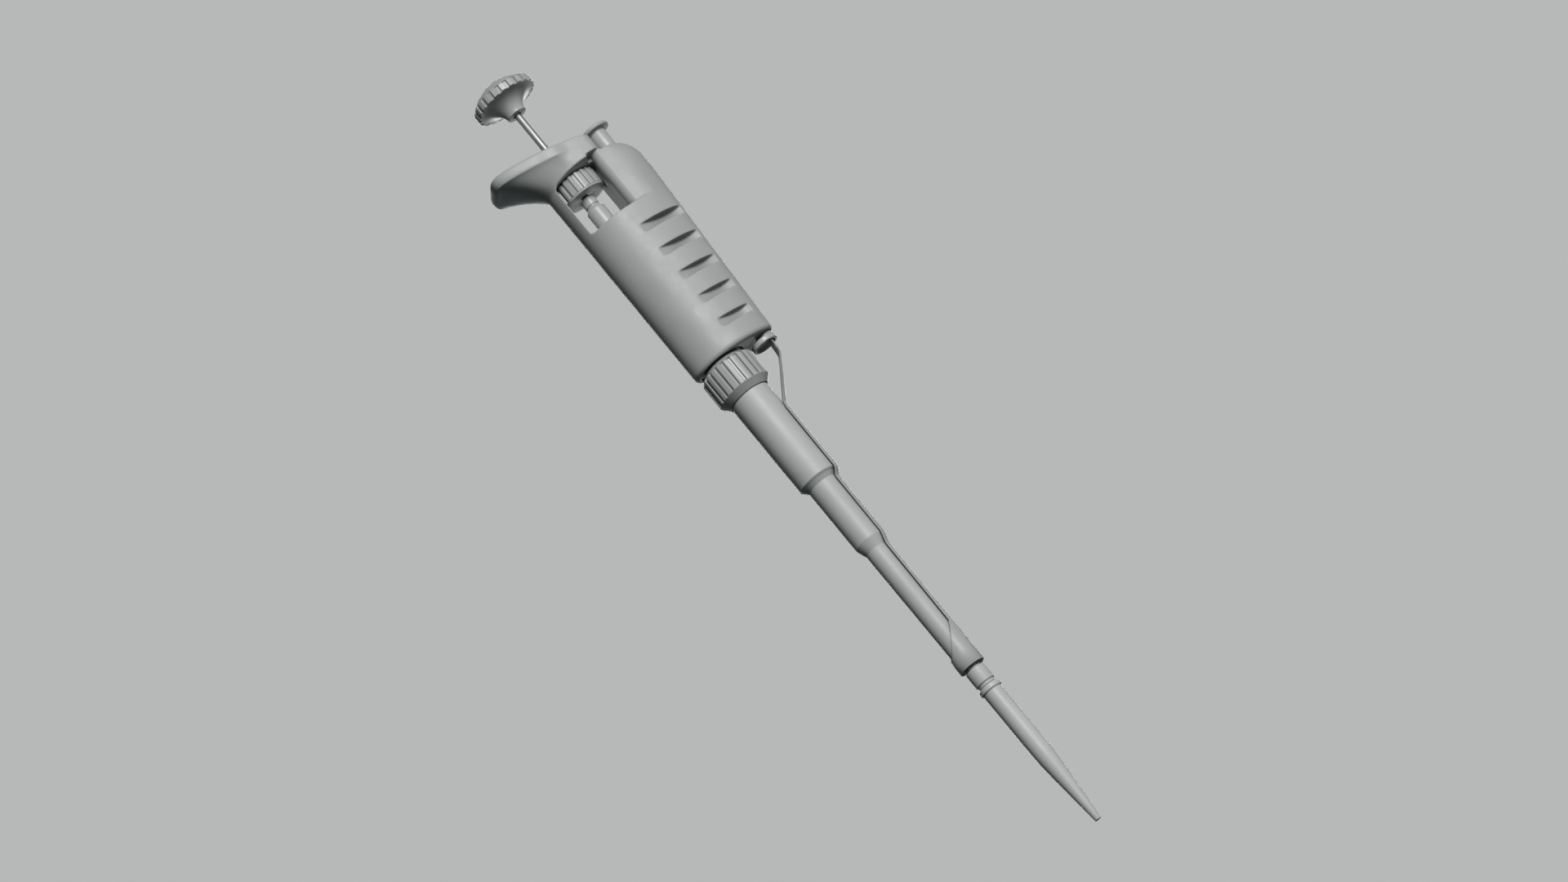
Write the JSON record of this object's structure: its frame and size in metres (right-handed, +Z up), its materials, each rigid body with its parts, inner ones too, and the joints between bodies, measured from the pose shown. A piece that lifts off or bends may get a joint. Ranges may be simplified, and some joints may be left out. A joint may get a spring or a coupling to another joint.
{
  "type": "adjustable micropipette",
  "caption": "Grey adjustable-volume micropipette with hooked finger rest, number drums, side tip ejector, stepped shaft and a fitted disposable tip",
  "frame": {"origin": "on the plunger axis, level with the underside of the finger rest, where a stand's fork holds the pipette", "axes": "+Z up along the plunger axis with the tip pointing down, +X from the finger rest towards the ejector, +Y towards the volume display"},
  "size_m": [0.0435, 0.0214, 0.2877],
  "materials": {
    "handle_plastic": "fine-textured moulded pale grey",
    "control_plastic": "satin moulded light grey",
    "dark_plastic": "moulded mid grey",
    "white_plastic": "smooth white",
    "clear_pane": "clear polished",
    "steel": "finely brushed",
    "brass": "turned",
    "seal_rubber": "smooth matt",
    "tip_plastic": "frosted polypropylene"
  },
  "bodies": {
    "body": {"handle": "handle_plastic", "display_window": "clear_pane", "rod_bushing": "white_plastic", "chassis_tube": "dark_plastic", "micrometer_nut": "brass", "blowout_washer": "steel", "blowout_spring": "steel", "tip_holder": "handle_plastic", "seal_retainer": "dark_plastic", "ptfe_seal": "white_plastic", "o_ring": "seal_rubber", "main_spring": "steel", "ejector_spring": "steel"},
    "dial": {"thumbwheel": "control_plastic", "drive_sleeve": "control_plastic", "units_drum": "white_plastic"},
    "tens": {"tens_drum": "white_plastic"},
    "hundreds": {"hundreds_drum": "white_plastic"},
    "screw": {"stop_screw": "brass"},
    "plunger": {"push_button": "control_plastic", "button_insert": "dark_plastic", "push_rod": "steel", "rod_collar": "steel", "piston": "steel"},
    "ejector": {"ejector_button": "control_plastic", "ejector_rod": "steel", "ejector_foot": "control_plastic", "ejector_arm": "steel"},
    "thrust_washer": {"clamp_ring": "steel"},
    "nut": {"connecting_nut": "control_plastic"},
    "tip": {"pipette_tip": "tip_plastic"}
  },
  "joints": [
    {"name": "volume_dial", "type": "hinge", "parent": "body", "child": "dial", "pos_m": [0, 0, -0.0113], "axis": [0, 0, 1], "range_deg": [-2880, 3600]},
    {"name": "tens_turn", "type": "hinge", "parent": "body", "child": "tens", "pos_m": [0, 0, -0.0357], "axis": [0, 0, 1], "range_deg": [-288, 360]},
    {"name": "hundreds_turn", "type": "hinge", "parent": "body", "child": "hundreds", "pos_m": [0, 0, -0.0318], "axis": [0, 0, 1], "range_deg": [-28.8, 36]},
    {"name": "screw_travel", "type": "slide", "parent": "dial", "child": "screw", "axis": [0, 0, 1], "range_m": [-0.00508, 0.00635]},
    {"name": "plunger_press", "type": "slide", "parent": "screw", "child": "plunger", "axis": [0, 0, 1], "range_m": [-0.00935, 0], "stiffness_N_per_m": 400, "springref_m": 0.008, "deforming": ["main_spring"]},
    {"name": "ejector_press", "type": "slide", "parent": "body", "child": "ejector", "axis": [0, 0, 1], "range_m": [-0.007, 0], "stiffness_N_per_m": 500, "springref_m": 0.006, "deforming": ["ejector_spring"]},
    {"name": "nut_travel", "type": "slide", "parent": "body", "child": "thrust_washer", "axis": [0, 0, 1], "range_m": [-0.002, 0]},
    {"name": "nut_turn", "type": "hinge", "parent": "thrust_washer", "child": "nut", "pos_m": [0, 0, -0.0873], "axis": [0, 0, 1], "range_deg": [-720, 0]},
    {"name": "tip_pull", "type": "slide", "parent": "body", "child": "tip", "axis": [0, 0, -1], "range_m": [0, 0.017]}
  ],
  "couplings": [
    {"joint": "volume_dial", "follows": "screw_travel", "rad_per_m": 9894.7},
    {"joint": "tens_turn", "follows": "screw_travel", "rad_per_m": 989.47},
    {"joint": "hundreds_turn", "follows": "screw_travel", "rad_per_m": 98.947},
    {"joint": "nut_turn", "follows": "nut_travel", "rad_per_m": 6283.1}
  ]
}
